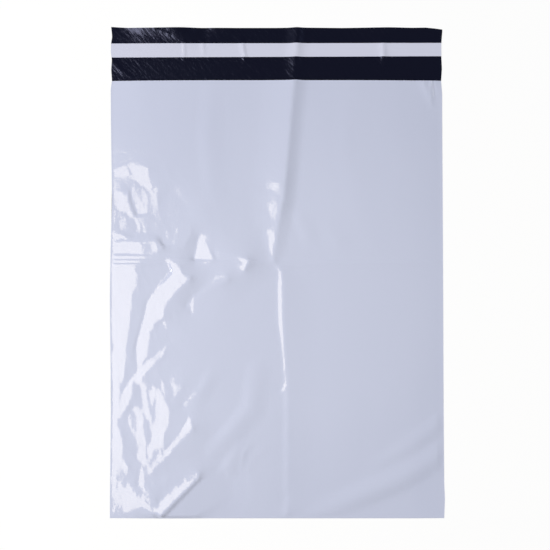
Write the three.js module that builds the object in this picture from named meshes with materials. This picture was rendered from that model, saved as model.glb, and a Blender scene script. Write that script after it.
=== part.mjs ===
// An empty plastic mailer bag, lying flat with its front wall up and its flap open.
// Millimetres, +Z up. X runs across the bag and +Y from the bottom fold to the flap.
// The origin is on the table, under the middle of the outline.
//
// The bag is one web of blown film, white outside and black inside. It is folded once at the
// bottom and melted together along both sides, and the longer back wall makes the flap.
// A band of glue lies across the flap's inner face, under a peel-off liner.
// The bag was stored folded in four, so it keeps a centre fold, a cross fold and loose creases.

import * as THREE from "three";
import { mergeVertices } from "three/addons/utils/BufferGeometryUtils.js";

// Bag
const bagWidth = 305;
const pouchLength = 403; // from the bottom fold to the mouth
const flapLength = 48; // what the back wall runs on past the mouth
const filmThickness = 0.06; // one wall
const weldWidth = 1.5; // the band at each side where both walls are melted into one

// Closure on the flap
const linerAboveMouth = 21.3; // from the mouth to the liner's lower edge
const linerWidth = 13.2;
const linerThickness = 0.06;
const glueWidth = 9;
const glueThickness = 0.12;
const layerClearance = 0.04; // between the flap, the glue and the liner

// How the empty pouch stands open
const foldClearance = 0.36; // between the walls at the bottom fold
const wallClearance = 0.3; // the least that the walls lie apart inside the welds
const pouchLoft = 4.8; // what trapped air adds in the middle of the pouch
const sideRise = 110; // from a weld to the full loft
const foldRise = 120; // from the bottom fold to the full loft

// What a crease's lift of 1 and reach of 1 mean
const creaseLift = 1;
const creaseReach = 10;
const flapCurl = 2.4; // how far the flap's free edge comes off the table where it curls
const crossFoldPlace = 0.582; // share of the pouch's length, from the bottom fold

// How the loose film follows the facets that are pressed into it
const settleCell = 3;
const slackStiffness = 0.03; // of the loose film, where a facet has 1
const calmReach = 40; // how far off a facet's lift is still felt
const settleSweeps = 200;
const sweepStride = 1.85; // how far past its own rest each node is moved, to settle sooner

const halfWidth = bagWidth / 2;
const weldLine = halfWidth - weldWidth;
const bagLength = pouchLength + flapLength;
const foldY = -bagLength / 2;
const mouthY = foldY + pouchLength;
const flapEndY = foldY + bagLength;
const foldRadius = foldClearance / 2 + filmThickness;
const firstRowY = foldY + foldRadius;

// A crease is a crest line. Each point has its place as shares of the half width and of the
// pouch's length, its lift, and how far the film slopes away to the left and to the right.
// "crisp" has a sharp crest, and "soft" is a rounded swell.
const centreFold = {
  form: "crisp",
  points: [
    [0.081, 0.0, 0.0, 0.6, 1.2],
    [0.07, 0.15, 0.45, 0.6, 2.4],
    [0.057, 0.304, 0.6, 0.6, 3.0],
    [0.045, 0.43, 1.1, 0.8, 3.4],
    [0.04, 0.52, 1.3, 0.9, 3.0],
    [-0.024, crossFoldPlace, 0.6, 0.9, 1.2],
    [-0.003, 0.669, 2.1, 1.2, 1.2],
    [0.0392, 0.771, 2.1, 2.0, 1.3],
    [0.0813, 0.908, 2.3, 2.3, 1.4],
    [0.108, 1.0, 2.6, 2.0, 1.4],
  ],
};
const flapFold = {
  form: "crisp",
  points: [
    [0.108, 1.0, 0.0, 1.2, 1.0],
    [0.118, 1.053, 1.6, 1.4, 1.0],
    [0.1295, 1.119, 2.1, 1.6, 1.0],
  ],
};
const frontCreases = [
  // Cross fold: a sharp ridge on the left that fades to the right
  {
    form: "crisp",
    points: [
      [-1.0, 0.588, 0.6, 0.9, 0.7],
      [-0.62, 0.586, 0.6, 1.0, 0.7],
      [-0.3, 0.582, 0.6, 0.9, 0.7],
      [-0.024, crossFoldPlace, 0.6, 0.8, 0.8],
      [0.35, 0.578, 0.4, 0.8, 0.8],
      [0.98, 0.582, 0.3, 0.8, 0.8],
    ],
  },
  // Broad swells where the film bridges between the folds
  {
    form: "soft",
    points: [
      [-0.12, 0.29, 0.5, 2.4, 2.4],
      [-0.24, 0.2, 0.7, 2.0, 2.4],
      [-0.38, 0.13, 0.3, 1.8, 2.2],
    ],
  },
  {
    form: "soft",
    points: [
      [0.95, 0.13, 0.4, 2.6, 2.6],
      [0.6, 0.09, 0.7, 2.2, 3.0],
      [0.25, 0.03, 0.3, 2.0, 2.4],
    ],
  },
  {
    form: "soft",
    points: [
      [0.3, 0.66, 0.5, 3.0, 3.0],
      [0.22, 0.78, 0.6, 2.4, 4.0],
      [0.3, 0.92, 0.3, 2.2, 4.0],
    ],
  },
];
const flapCreases = [
  {
    form: "soft",
    points: [
      [-0.92, 1.14, 0.2, 2.0, 2.4],
      [-0.72, 1.12, 1.0, 2.2, 2.6],
      [-0.5, 1.13, 0.5, 2.0, 2.4],
    ],
  },
  {
    form: "soft",
    points: [
      [0.6, 1.13, 0.2, 2.0, 2.4],
      [0.74, 1.12, 0.9, 1.8, 2.2],
      [0.92, 1.14, 0.3, 1.6, 2.2],
    ],
  },
];

// A facet is a flat patch of the front wall between sharp creases. It has its slope across the
// bag and up it, then its corners in millimetres from the middle of the bag's outline.
const facets = [
  // Left edge above the cross fold
  { slope: [0.1, 0.05], corners: [[-152, 94], [-137, 97], [-133, 86], [-152, 87]] },
  { slope: [0.12, 0.05], corners: [[-136, 98], [-115, 98], [-112, 76], [-122, 81], [-133, 90]] },
  { slope: [0.1, 0.03], corners: [[-152, 75], [-137, 75], [-132, 53], [-152, 60]] },
  { slope: [0.105, 0.03], corners: [[-134, 75], [-116, 76], [-108, 62], [-115, 55], [-127, 52]] },
  { slope: [0.03, 0], corners: [[-152, 59], [-130, 49], [-127, 42], [-130, 35], [-152, 38]] },
  { slope: [0.11, 0.03], corners: [[-152, 30], [-125, 28], [-119, 25], [-122, 18], [-152, 18]] },
  // Tent and fleck along the cross fold
  { slope: [0.16, 0], corners: [[-71, 34], [-76, 12], [-57, 12], [-63, 25]] },
  { slope: [0.19, 0], corners: [[-39, 16], [-25, 11], [-30, 2]] },
  // Left edge below the cross fold
  {
    slope: [0.1, 0],
    corners: [[-152, 5], [-130, 0], [-130, -10], [-136, -29], [-136, -52], [-139, -88], [-152, -88]],
  },
  // Long bent facet, from the cross fold down towards the left edge
  {
    slope: [0.13, 0],
    corners: [[-98, 11], [-78, -5], [-89, -15], [-102, -29], [-103, -40], [-118, -52], [-108, -13]],
  },
  {
    slope: [0.13, 0],
    corners: [[-108, -13], [-103, -40], [-118, -52], [-120, -77], [-127, -89], [-125, -52], [-119, -26]],
  },
  { slope: [0.13, -0.02], corners: [[-98, -64], [-104, -78], [-131, -96], [-127, -89], [-115, -78]] },
  // Crumpled corner
  { slope: [0.095, 0], corners: [[-152, -88], [-139, -88], [-146, -115], [-147, -146], [-152, -146]] },
  { slope: [0, 0], corners: [[-145, -102], [-133, -96], [-138, -106], [-145, -114]] },
  { slope: [0.105, 0], corners: [[-133, -101], [-132, -110], [-139, -126], [-146, -131], [-145, -122]] },
  { slope: [0.12, 0], corners: [[-125, -106], [-112, -111], [-105, -121], [-108, -137], [-115, -150]] },
  { slope: [0.13, 0], corners: [[-109, -121], [-100, -121], [-94, -136], [-105, -131]] },
  { slope: [0.11, 0], corners: [[-137, -136], [-132, -137], [-124, -155], [-126, -162], [-130, -152]] },
  { slope: [0.1, 0], corners: [[-144, -146], [-141, -154], [-142, -169], [-147, -186], [-152, -185]] },
  { slope: [0.14, 0], corners: [[-79, -137], [-76, -143], [-93, -161], [-106, -175], [-92, -150]] },
  { slope: [0.12, 0], corners: [[-126, -161], [-115, -157], [-112, -171], [-122, -178], [-129, -169]] },
  { slope: [0.115, 0.02], corners: [[-125, -180], [-114, -174], [-116, -185], [-127, -194]] },
  // Along the bottom
  { slope: [0.09, 0], corners: [[-152, -204], [-133, -204], [-118, -208], [-118, -218], [-152, -209]] },
  { slope: [0.115, 0], corners: [[-118, -208], [-108, -207], [-76, -190], [-98, -215], [-107, -223]] },
];

const { lerp, clamp } = THREE.MathUtils;
const profiles = {
  crisp: (t) => (1 - t) ** 1.5,
  soft: (t) => (1 - t) ** 2 * (1 + 2 * t),
};
// A film wall leaves its weld steeply and comes level at the end of its rise
const rise = (distance, length) => 1 - (1 - clamp(distance / length, 0, 1)) ** 2;
const shareToPlace = ([u, v, ...sizes]) => [u * halfWidth, foldY + v * pouchLength, ...sizes];

// What one crease adds to the height of the film at (x, y)
function liftOf(crease, x, y) {
  const points = crease.points.map(shareToPlace);
  let nearest = null;
  for (let k = 0; k < points.length - 1; k++) {
    const [x0, y0] = points[k];
    const [dx, dy] = [points[k + 1][0] - x0, points[k + 1][1] - y0];
    const along = clamp(((x - x0) * dx + (y - y0) * dy) / (dx * dx + dy * dy), 0, 1);
    const away = Math.hypot(x - x0 - along * dx, y - y0 - along * dy);
    if (nearest && nearest.away <= away) continue;
    // Left is the side of the lower x of a crest that runs up the bag, or of the higher y
    const steep = Math.abs(dy) > Math.abs(dx) * 0.3;
    const side = dx * (y - y0) - dy * (x - x0);
    const onLeft = steep ? side * Math.sign(dy) > 0 : side * Math.sign(dx) > 0;
    const [lift, left, right] = [2, 3, 4].map((n) => lerp(points[k][n], points[k + 1][n], along));
    nearest = { away, lift, reach: (onLeft ? left : right) * creaseReach };
  }
  return nearest.lift * creaseLift * profiles[crease.form](Math.min(nearest.away / nearest.reach, 1));
}

// The underside of the back wall and flap: on the table, apart from the centre fold and the curl
function backHeight(x, y) {
  const curl = flapCreases.reduce((sum, crease) => sum + liftOf(crease, x, y), 0);
  const pastMouth = clamp((y - mouthY) / flapLength, 0, 1);
  return liftOf(flapFold, x, y) + curl * flapCurl * pastMouth ** 2;
}

// How far apart the walls of the smooth pouch lie, film to film, inside the welds
function restingGap(x, y) {
  const seam = rise(weldLine - Math.abs(x), sideRise);
  const opening = rise(y - firstRowY, foldRise);
  return wallClearance + pouchLoft * opening * seam;
}

function liesIn(corners, x, y) {
  let odd = false;
  corners.forEach(([x0, y0], k) => {
    const [x1, y1] = corners[(k + 1) % corners.length];
    const isCrossed = y0 > y !== y1 > y && x < x0 + ((y - y0) / (y1 - y0)) * (x1 - x0);
    odd = isCrossed ? !odd : odd;
  });
  return odd;
}

// Presses the facets into a net of nodes over the front wall, and lets the rest of it settle.
// The net is held at the welds and at the bottom fold, and is free along the mouth.
function settledNet() {
  const across = Math.round((2 * weldLine) / settleCell);
  const up = Math.round((mouthY - firstRowY) / settleCell);
  const placeOf = (i, j) => [lerp(-weldLine, weldLine, i / across), lerp(firstRowY, mouthY, j / up)];
  // How far the film wants to rise from one node to its neighbour, and how stiffly
  const linkBetween = (from, to) => {
    const [dx, dy] = [to[0] - from[0], to[1] - from[1]];
    const facet = facets.findLast(({ corners }) => liesIn(corners, from[0] + dx / 2, from[1] + dy / 2));
    if (!facet) return { stiffness: slackStiffness, step: 0 };
    const resting = restingGap(...to) - restingGap(...from);
    return { stiffness: 1, step: facet.slope[0] * dx + facet.slope[1] * dy - resting };
  };
  const net = Array.from({ length: across + 1 }, (_, i) =>
    Array.from({ length: up + 1 }, (_, j) => ({
      lift: 0,
      toRight: i < across ? linkBetween(placeOf(i, j), placeOf(i + 1, j)) : null,
      upward: j < up ? linkBetween(placeOf(i, j), placeOf(i, j + 1)) : null,
    })),
  );
  const calm = slackStiffness * (settleCell / calmReach) ** 2;
  for (let sweep = 0; sweep < settleSweeps; sweep++) {
    for (let i = 1; i < across; i++) {
      for (let j = 1; j <= up; j++) {
        const node = net[i][j];
        let pull = 0;
        let stiffness = calm;
        const pullTo = (link, goal) => {
          pull += link.stiffness * goal;
          stiffness += link.stiffness;
        };
        pullTo(net[i - 1][j].toRight, net[i - 1][j].lift + net[i - 1][j].toRight.step);
        pullTo(net[i][j - 1].upward, net[i][j - 1].lift + net[i][j - 1].upward.step);
        pullTo(node.toRight, net[i + 1][j].lift - node.toRight.step);
        if (node.upward) pullTo(node.upward, net[i][j + 1].lift - node.upward.step);
        node.lift += sweepStride * (pull / stiffness - node.lift);
      }
    }
  }
  return net;
}

const filmNet = settledNet();
function netLift(x, y) {
  const u = clamp((x + weldLine) / (2 * weldLine), 0, 1) * (filmNet.length - 1);
  const v = clamp((y - firstRowY) / (mouthY - firstRowY), 0, 1) * (filmNet[0].length - 1);
  const [i, j] = [Math.min(Math.floor(u), filmNet.length - 2), Math.min(Math.floor(v), filmNet[0].length - 2)];
  const liftAlong = (row) => lerp(filmNet[i][row].lift, filmNet[i + 1][row].lift, u - i);
  return lerp(liftAlong(j), liftAlong(j + 1), v - j);
}

// How far apart the walls lie, film to film. It is nothing at the welds.
function wallGap(x, y) {
  const fromWeld = weldLine - Math.abs(x);
  if (fromWeld <= 0) return 0;
  const least = Math.min(1, (2 * fromWeld) / weldWidth);
  if (y <= firstRowY) return least * foldClearance;
  const relief = frontCreases.reduce((sum, crease) => sum + liftOf(crease, x, y), liftOf(centreFold, x, y));
  const nearFold = clamp((y - firstRowY) / creaseReach, 0, 1);
  const nearWeld = Math.min(1, rise(fromWeld, sideRise) * 4);
  const gap = restingGap(x, y) + relief * nearFold * nearWeld + netLift(x, y);
  return least * Math.max(gap, wallClearance);
}

// The centre fold's place across the bag, at a height along it
function foldLine(y) {
  const line = [...centreFold.points, flapFold.points.at(-1)].map(shareToPlace);
  const k = clamp(line.findIndex((point) => point[1] >= y), 1, line.length - 1);
  const along = clamp((y - line[k - 1][1]) / (line[k][1] - line[k - 1][1]), 0, 1);
  return lerp(line[k - 1][0], line[k][0], along);
}

// Columns run up the bag and lean with the centre fold. These are their shares of the way from
// the fold to a weld: closer together where the film is creased.
const leftShares = [
  1, 0.965, 0.93, 0.895, 0.86, 0.825, 0.79, 0.755, 0.72, 0.685, 0.65, 0.61, 0.57,
  0.525, 0.48, 0.43, 0.37, 0.3, 0.24, 0.18, 0.13, 0.08, 0.04,
];
const rightShares = [0, 0.035, 0.08, 0.14, 0.22, 0.34, 0.5, 0.68, 0.86, 1];
const columns = [
  () => -halfWidth,
  ...leftShares.map((share) => (y) => lerp(foldLine(y), -weldLine, share)),
  ...rightShares.map((share) => (y) => lerp(foldLine(y), weldLine, share)),
  () => halfWidth,
];
// The back wall is plainer, so it has only these of the columns
const backColumns = columns.filter((_, k) => {
  const fromFold = k - 1 - leftShares.length;
  const isEnd = k <= 1 || k >= columns.length - 2;
  return isEnd || Math.abs(fromFold) <= 2 || (fromFold < 0 ? fromFold % 5 === 0 : fromFold > 3);
});

// Rows run across the bag, closer together where the film is creased
const crossFoldY = foldY + crossFoldPlace * pouchLength;
const creasedToY = lerp(crossFoldY, mouthY, 0.55);
const rowsBetween = (from, to, count) =>
  Array.from({ length: count }, (_, k) => lerp(from, to, k / count));
const pouchRows = [
  ...rowsBetween(firstRowY, crossFoldY, 34),
  ...rowsBetween(crossFoldY, creasedToY, 13),
  ...rowsBetween(creasedToY, mouthY, 5),
  mouthY,
];
const linerFrom = mouthY + linerAboveMouth;
const linerTo = linerFrom + linerWidth;
const glueFrom = linerFrom + (linerWidth - glueWidth) / 2;
const glueTo = glueFrom + glueWidth;
const linerRows = [linerFrom, glueFrom, glueTo, linerTo];
const flapRows = [
  ...rowsBetween(mouthY, linerFrom, 3),
  ...linerRows,
  ...rowsBetween(linerTo, flapEndY, 2).slice(1),
  flapEndY,
];

// A sheet's points, at columns by rows, with the diagonal of each cell that lies closer to the film
function drape(columnList, rowList, height) {
  const points = columnList.map((column) => rowList.map((y) => {
    const x = column(y);
    return new THREE.Vector3(x, y, height(x, y));
  }));
  const alongRise = points.slice(1).map((right, i) => rowList.slice(1).map((_, j) => {
    const [a, b, c, d] = [points[i][j], right[j], right[j + 1], points[i][j + 1]];
    const middle = new THREE.Vector3().add(a).add(b).add(c).add(d).multiplyScalar(0.25);
    const middleHeight = height(middle.x, middle.y);
    return Math.abs((a.z + c.z) / 2 - middleHeight) <= Math.abs((b.z + d.z) / 2 - middleHeight);
  }));
  return { points, alongRise };
}
const lifted = (sheet, by) => ({
  points: sheet.points.map((column) => column.map((p) => new THREE.Vector3(p.x, p.y, p.z + by))),
  alongRise: sheet.alongRise,
});

// Faces are collected as triangles, then closed into one geometry
const addQuad = (faces, a, b, c, d, cutAC = true) =>
  cutAC ? faces.push([a, b, c], [a, c, d]) : faces.push([a, b, d], [b, c, d]);
function addSheet(faces, { points, alongRise }, faceUp) {
  alongRise.forEach((column, i) => column.forEach((cutAC, j) => {
    const [a, b, c, d] = [points[i][j], points[i + 1][j], points[i + 1][j + 1], points[i][j + 1]];
    faceUp ? addQuad(faces, a, b, c, d, cutAC) : addQuad(faces, a, d, c, b, cutAC);
  }));
}
// The strip between two lines of points that run the same way: it faces right of the first one
function addStrip(faces, from, to) {
  for (let k = 0; k < from.length - 1; k++) addQuad(faces, from[k], from[k + 1], to[k + 1], to[k]);
}
// The same between lines of unlike numbers of points, both from low x to high x
function addZip(faces, near, far, faceUp) {
  let [i, j] = [0, 0];
  while (i < near.length - 1 || j < far.length - 1) {
    const nearNext = near[i + 1];
    const farNext = far[j + 1];
    const stepNear = !farNext || (nearNext && nearNext.x + near[i].x <= farNext.x + far[j].x);
    const face = stepNear ? [near[i], nearNext, far[j]] : [near[i], farNext, far[j]];
    faces.push(faceUp ? face : face.reverse());
    stepNear ? i++ : j++;
  }
}
const rowOf = (sheet, j) => sheet.points.map((column) => column.at(j));
const inside = (line) => line.slice(1, -1);

function closedGeometry(...groups) {
  const geometry = new THREE.BufferGeometry();
  const corners = groups.flat(2).flatMap((p) => p.toArray());
  geometry.setAttribute("position", new THREE.Float32BufferAttribute(corners, 3));
  const merged = mergeVertices(geometry, 1e-4);
  // A face whose corners have run together, as at the ends of the inner fold, is left out
  const kept = [];
  let start = 0;
  merged.clearGroups();
  groups.forEach((faces, material) => {
    const from = kept.length;
    faces.forEach((_, k) => {
      const [a, b, c] = [0, 1, 2].map((n) => merged.index.getX((start + k) * 3 + n));
      if (a !== b && b !== c && c !== a) kept.push(a, b, c);
    });
    start += faces.length;
    merged.addGroup(from, kept.length - from, material);
  });
  merged.setIndex(kept);
  merged.computeVertexNormals();
  return merged;
}

// The bag: one folded and welded web
function bagGeometry() {
  const outside = [];
  const within = [];
  const allRows = [...pouchRows, ...flapRows.slice(1)];
  const mouth = pouchRows.length - 1;
  const backUnder = drape(backColumns, allRows, backHeight);
  const backInner = lifted(backUnder, filmThickness);
  const frontTop = drape(columns, pouchRows, (x, y) => backHeight(x, y) + 2 * filmThickness + wallGap(x, y));
  const frontInner = lifted(frontTop, -filmThickness);
  // The cells between two rows, without this many columns of them at each side
  const cells = ({ points, alongRise }, fromRow, toRow, trim) => ({
    points: points.slice(trim, points.length - trim).map((column) => column.slice(fromRow, toRow + 1)),
    alongRise: alongRise.slice(trim, alongRise.length - trim).map((column) => column.slice(fromRow, toRow)),
  });

  addSheet(outside, cells(backUnder, 1, allRows.length - 1, 0), false);
  addSheet(outside, frontTop, true);
  addSheet(within, cells(backInner, 1, mouth, 1), true);
  addSheet(within, cells(backInner, mouth, allRows.length - 1, 0), true);
  addSheet(within, cells(frontInner, 0, mouth, 1), false);

  // Bottom fold: a half round from the back wall up to the front wall
  const foldSteps = 4;
  const firstRow = rowOf(frontTop, 0);
  const foldAt = (inset) => (k) => firstRow.map((top) => {
    const radius = (top.z - backHeight(top.x, top.y)) / 2;
    const angle = Math.PI * (k / foldSteps - 0.5);
    const arm = Math.max(radius - inset, 0);
    return new THREE.Vector3(top.x, top.y - arm * Math.cos(angle), top.z - radius + arm * Math.sin(angle));
  });
  const outerFold = Array.from({ length: foldSteps + 1 }, (_, k) => foldAt(0)(k));
  const innerFold = Array.from({ length: foldSteps + 1 }, (_, k) => inside(foldAt(filmThickness)(k)));
  for (let k = 0; k < foldSteps; k++) {
    addStrip(outside, outerFold[k], outerFold[k + 1]);
    addStrip(within, innerFold[k + 1], innerFold[k]);
  }
  addZip(outside, outerFold[0], rowOf(backUnder, 1), false);
  addZip(within, innerFold[0], inside(rowOf(backInner, 1)), true);

  // Mouth edge of the front wall, and the flap's free edge
  const frontEdge = rowOf(frontTop, -1);
  const frontEdgeInner = rowOf(frontInner, -1);
  addStrip(outside, frontEdge, frontEdgeInner);
  addStrip(outside, rowOf(backInner, -1), rowOf(backUnder, -1));

  // Side edges, in two plies beside the pouch and one beside the flap
  for (const side of [0, -1]) {
    const [under, ply, top] = [backUnder, backInner, frontTop].map((sheet) => sheet.points.at(side));
    const turn = (strip, from, to) => (side ? addStrip(strip, from, to) : addStrip(strip, to, from));
    const foldEnd = outerFold.map((line) => line.at(side));
    const centre = new THREE.Vector3(foldEnd[0].x, firstRowY, foldEnd[0].z + filmThickness);
    turn(outside, [foldEnd[0], ...under.slice(1)], [centre, ...ply.slice(1)]);
    turn(outside, [centre, ...ply.slice(1, mouth + 1)], top);
    foldEnd.slice(1).forEach((point, k) => {
      outside.push(side ? [centre, point, foldEnd[k]] : [centre, foldEnd[k], point]);
    });
  }
  return closedGeometry(outside, within);
}

// A band that lies on the flap from edge to edge, clear of it by its height above the film
function bandGeometry(rowList, aboveFilm, thickness) {
  const under = drape(backColumns, rowList, (x, y) => backHeight(x, y) + filmThickness + aboveFilm);
  const top = lifted(under, thickness);
  const faces = [];
  addSheet(faces, under, false);
  addSheet(faces, top, true);
  addStrip(faces, rowOf(under, 0), rowOf(top, 0));
  addStrip(faces, rowOf(top, -1), rowOf(under, -1));
  addStrip(faces, top.points[0], under.points[0]);
  addStrip(faces, under.points.at(-1), top.points.at(-1));
  return closedGeometry(faces);
}

const whiteFilm = new THREE.MeshStandardMaterial({ color: 0xc9cfe2, roughness: 0.3, flatShading: true });
const blackFilm = new THREE.MeshStandardMaterial({ color: 0x14161f, roughness: 0.35, flatShading: true });
const amberGlue = new THREE.MeshStandardMaterial({ color: 0xd8cfae, roughness: 0.45, flatShading: true });
const linerFilm = new THREE.MeshStandardMaterial({ color: 0xd2d4e4, roughness: 0.5, flatShading: true });

const mailer = new THREE.Group();
function addPiece(name, geometry, material) {
  const mesh = new THREE.Mesh(geometry, material);
  mesh.name = name;
  mailer.add(mesh);
}
addPiece("bag_film", bagGeometry(), [whiteFilm, blackFilm]);
addPiece("adhesive_strip", bandGeometry([glueFrom, glueTo], layerClearance, glueThickness), amberGlue);
addPiece(
  "release_liner",
  bandGeometry(linerRows, 2 * layerClearance + glueThickness, linerThickness),
  linerFilm,
);

export default mailer;
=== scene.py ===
import math

import bmesh
import bpy
import numpy as np
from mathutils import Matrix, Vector


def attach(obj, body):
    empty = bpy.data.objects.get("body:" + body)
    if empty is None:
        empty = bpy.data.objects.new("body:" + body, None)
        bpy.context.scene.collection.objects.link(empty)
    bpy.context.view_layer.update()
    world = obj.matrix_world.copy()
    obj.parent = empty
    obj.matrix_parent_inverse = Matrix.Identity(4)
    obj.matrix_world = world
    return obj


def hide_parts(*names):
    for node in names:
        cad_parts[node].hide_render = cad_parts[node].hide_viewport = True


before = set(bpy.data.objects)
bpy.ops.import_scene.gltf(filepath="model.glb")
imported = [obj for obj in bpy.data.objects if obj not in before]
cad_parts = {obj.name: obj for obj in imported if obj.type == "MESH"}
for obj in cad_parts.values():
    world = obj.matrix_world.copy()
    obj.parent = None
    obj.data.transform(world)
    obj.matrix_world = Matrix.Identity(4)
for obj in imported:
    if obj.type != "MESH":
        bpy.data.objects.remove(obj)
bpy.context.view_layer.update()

# An empty mailer bag of white film, black inside, lying on its back wall with the flap open.
# The settings are in millimetres, in the frame's own axes: +Y towards the flap, +Z up.

# The film, and how its pouch stands open
film = {
    "width": 305.0,
    "pouch": 403.0,  # from the bottom fold to the mouth
    "flap": 48.0,
    "wall": 0.06,
    "weld": 1.5,
    "restGap": 0.3,  # the least between the walls
    "restRise": 25.0,  # from a weld to that gap
    "foldGap": 0.36,  # between the walls where the bottom fold is laid out
    "loft": 4.8,  # what the air left in the pouch adds
    "sideRise": 110.0,  # from a weld to the full loft
    "foldRise": 120.0,  # from the bottom fold to the full loft
    "bottomCalm": 6.0,  # from the bottom fold to a crease's full lift
    "weldCalm": 4.0,  # from a weld to a crease's full lift
    "flapCalm": 0.2,  # from the mouth to a flap crease's full lift, as a share of the flap
}
halfWidth = film["width"] / 2
weldLine = halfWidth - film["weld"]
mouthY = film["pouch"] - (film["pouch"] + film["flap"]) / 2
bottomY = mouthY - film["pouch"]
flapEndY = mouthY + film["flap"]
perMetre = 1000  # millimetres

# The film's grid: columns run along the bag, and rows across it
filmGrid = {
    "columns": 168,
    "frontRows": 247,
    "foldRows": 6,
    "backRows": 12,
    "flapRows": 24,
    "creasedSide": -25.0,  # the columns are close together to the left of this
    "calmColumns": 0.18,  # their density to its right, against 1 on its left
    "closeColumns": [(5, 0.45, 20), (143, 0.5, 9), (98, 0.4, 5)],  # place, density added, reach
    "calmAbove": 100.0,  # the rows are further apart above this
    "calmRows": 0.55,  # their density there, against 1 below
    "closeRows": [(11, 1.3, 9)],  # the cross fold
    "samples": 4001,  # where the spacing of columns and rows is worked out
    "sharpAngle": 50.0,  # degrees at a fold that is drawn sharp
}

# A crease is a crest line: its form, then x, y, lift, and the reach of its left and right flanks.
# The left flank of a level line is the one above it.
levelLine = 0.3  # a line that climbs less than this is level
centreFold = (
    "crisp",
    [
        (9.8, -225, 0.4, 6, 14),
        (10.2, -165, 0.6, 6, 22),
        (10, -118, 0.6, 5, 26),
        (9.8, -102, 0.7, 4, 30),
        (7, -66, 0.8, 3.6, 32),
        (5.7, -45, 1.2, 6, 32),
        (5.6, -10, 1.2, 6.5, 26),
        (4.2, 1, 0.8, 3, 14),
        (-1, 8, 0.4, 3, 6),
        (-2.6, 14, 0.7, 5, 10),
        (0.8, 38, 1.8, 22, 13),
        (3.4, 53, 2.3, 28, 12),
        (6.4, 67, 2.7, 32, 12),
        (8, 83, 2.8, 32, 12),
        (10.8, 113, 2.7, 30, 12),
        (13, 141, 2.7, 30, 12),
        (16.5, 177.5, 2.7, 30, 13),
    ],
)
flapFold = (
    "crisp",
    [
        (16.5, 177.5, 0.3, 12, 9),
        (18, 198.9, 1.7, 12, 9),
        (19.8, 225.5, 2.1, 12, 9),
    ],
)
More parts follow.
